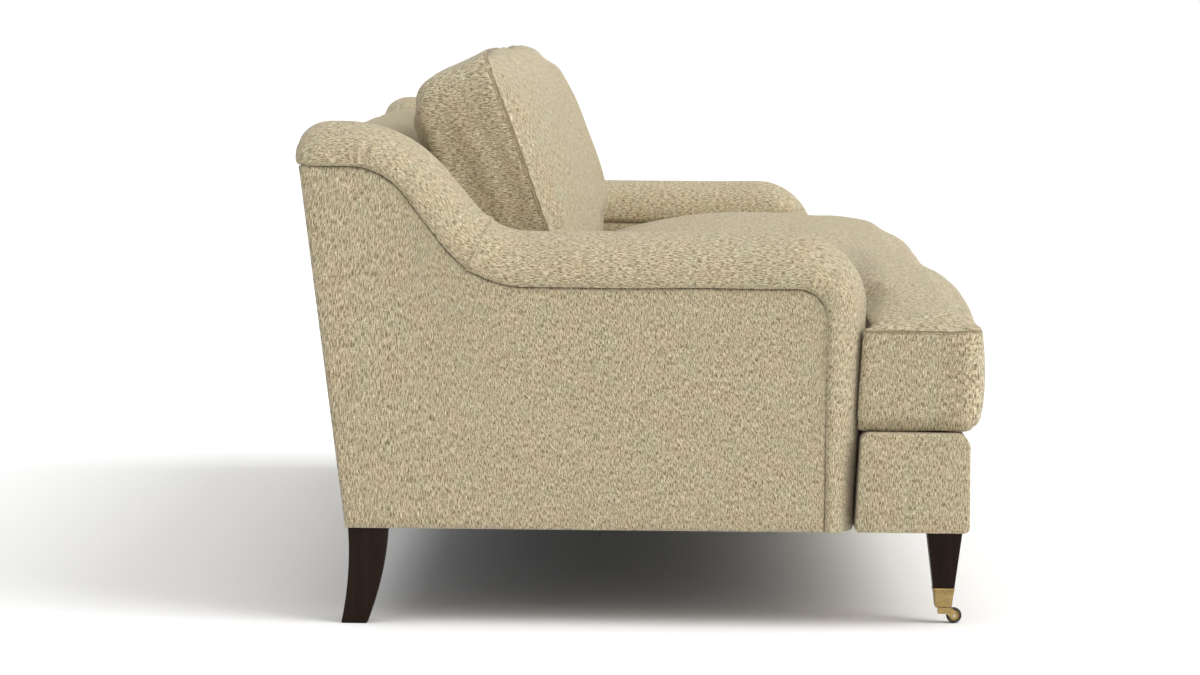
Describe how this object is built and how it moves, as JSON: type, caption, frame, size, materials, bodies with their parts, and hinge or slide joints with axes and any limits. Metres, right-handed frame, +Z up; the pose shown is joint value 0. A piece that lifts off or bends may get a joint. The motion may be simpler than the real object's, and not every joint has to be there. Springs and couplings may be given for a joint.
{
  "type": "english roll arm sofa",
  "caption": "Upholstered sofa with rolled arms that sweep up into low wings, T-shaped seat cushions, loose boxed back cushions, sabre rear legs and brass casters in front.",
  "frame": {"origin": "on the floor under the middle of the sofa's bounding box", "axes": "+X to the right of somebody facing the sofa, the front faces -Y, +Z up"},
  "size_m": [2.1332, 0.9954, 0.8305],
  "materials": {
    "upholstery": "oatmeal textured weave, matt",
    "leg_wood": "very dark stained hardwood, satin",
    "frame_timber": "sawn hardwood, unfinished",
    "plywood": "birch plywood, unfinished",
    "webbing": "jute webbing",
    "deck_cloth": "plain lining cloth",
    "dust_cloth": "thin black non-woven cloth",
    "filling": "foam wrapped in fibre",
    "brass": "antiqued cast brass",
    "tyre": "dark rubber band",
    "steel": "zinc plated"
  },
  "bodies": {
    "sofa": {"arm_rolls": "upholstery", "back_ribs": "frame_timber", "back_top_rail": "frame_timber", "back_top_roll": "upholstery", "back_webbing": "webbing", "corner_blocks": "frame_timber", "dust_cover": "dust_cloth", "front_border": "upholstery", "front_rail": "frame_timber", "inner_front_rail": "frame_timber", "inside_back_pad": "upholstery", "left_arm_spacers": "frame_timber", "left_caster_cup": "brass", "left_front_leg": "leg_wood", "left_inner_arm_board": "plywood", "left_inner_arm_pad": "upholstery", "left_outer_arm_board": "plywood", "left_outer_arm_panel": "upholstery", "left_rear_leg": "leg_wood", "leg_bolts": "steel", "leg_plates": "steel", "outside_back_panel": "upholstery", "rail_ends": "frame_timber", "rear_rail": "frame_timber", "right_arm_spacers": "frame_timber", "right_caster_cup": "brass", "right_front_leg": "leg_wood", "right_inner_arm_board": "plywood", "right_inner_arm_pad": "upholstery", "right_outer_arm_board": "plywood", "right_outer_arm_panel": "upholstery", "right_rear_leg": "leg_wood", "seat_back_rail": "frame_timber", "seat_deck": "deck_cloth", "seat_stretchers": "frame_timber", "seat_webbing_cross": "webbing", "seat_webbing_long": "webbing", "side_rails": "frame_timber", "wing_rolls": "upholstery"},
    "left_seat_cushion": {"left_seat_cushion_cover": "upholstery", "left_seat_cushion_core": "filling"},
    "left_back_cushion": {"left_back_cushion_cover": "upholstery", "left_back_cushion_core": "filling"},
    "left_caster": {"left_caster_pin": "brass", "left_caster_horn": "brass", "left_caster_axle": "steel"},
    "left_wheel": {"left_caster_wheel": "brass", "left_caster_tyre": "tyre"},
    "right_seat_cushion": {"right_seat_cushion_cover": "upholstery", "right_seat_cushion_core": "filling"},
    "right_back_cushion": {"right_back_cushion_cover": "upholstery", "right_back_cushion_core": "filling"},
    "right_caster": {"right_caster_pin": "brass", "right_caster_horn": "brass", "right_caster_axle": "steel"},
    "right_wheel": {"right_caster_wheel": "brass", "right_caster_tyre": "tyre"}
  },
  "joints": [
    {"name": "left_caster_swivel", "type": "hinge", "parent": "sofa", "child": "left_caster", "pos_m": [-0.981, -0.447, 0.02], "axis": [0, 0, 1], "continuous": true},
    {"name": "left_wheel_roll", "type": "hinge", "parent": "left_caster", "child": "left_wheel", "pos_m": [-0.981, -0.463, 0.0113], "axis": [1, 0, 0], "continuous": true},
    {"name": "left_seat_cushion_draw", "type": "slide", "parent": "sofa", "child": "left_seat_cushion", "axis": [0, -0.9962, 0.0872], "range_m": [0, 0.7]},
    {"name": "left_back_cushion_lift", "type": "slide", "parent": "sofa", "child": "left_back_cushion", "axis": [0, 0, 1], "range_m": [0, 0.32]},
    {"name": "right_caster_swivel", "type": "hinge", "parent": "sofa", "child": "right_caster", "pos_m": [0.981, -0.447, 0.02], "axis": [0, 0, 1], "continuous": true},
    {"name": "right_wheel_roll", "type": "hinge", "parent": "right_caster", "child": "right_wheel", "pos_m": [0.981, -0.463, 0.0113], "axis": [1, 0, 0], "continuous": true},
    {"name": "right_seat_cushion_draw", "type": "slide", "parent": "sofa", "child": "right_seat_cushion", "axis": [0, -0.9962, 0.0872], "range_m": [0, 0.7]},
    {"name": "right_back_cushion_lift", "type": "slide", "parent": "sofa", "child": "right_back_cushion", "axis": [0, 0, 1], "range_m": [0, 0.32]}
  ]
}
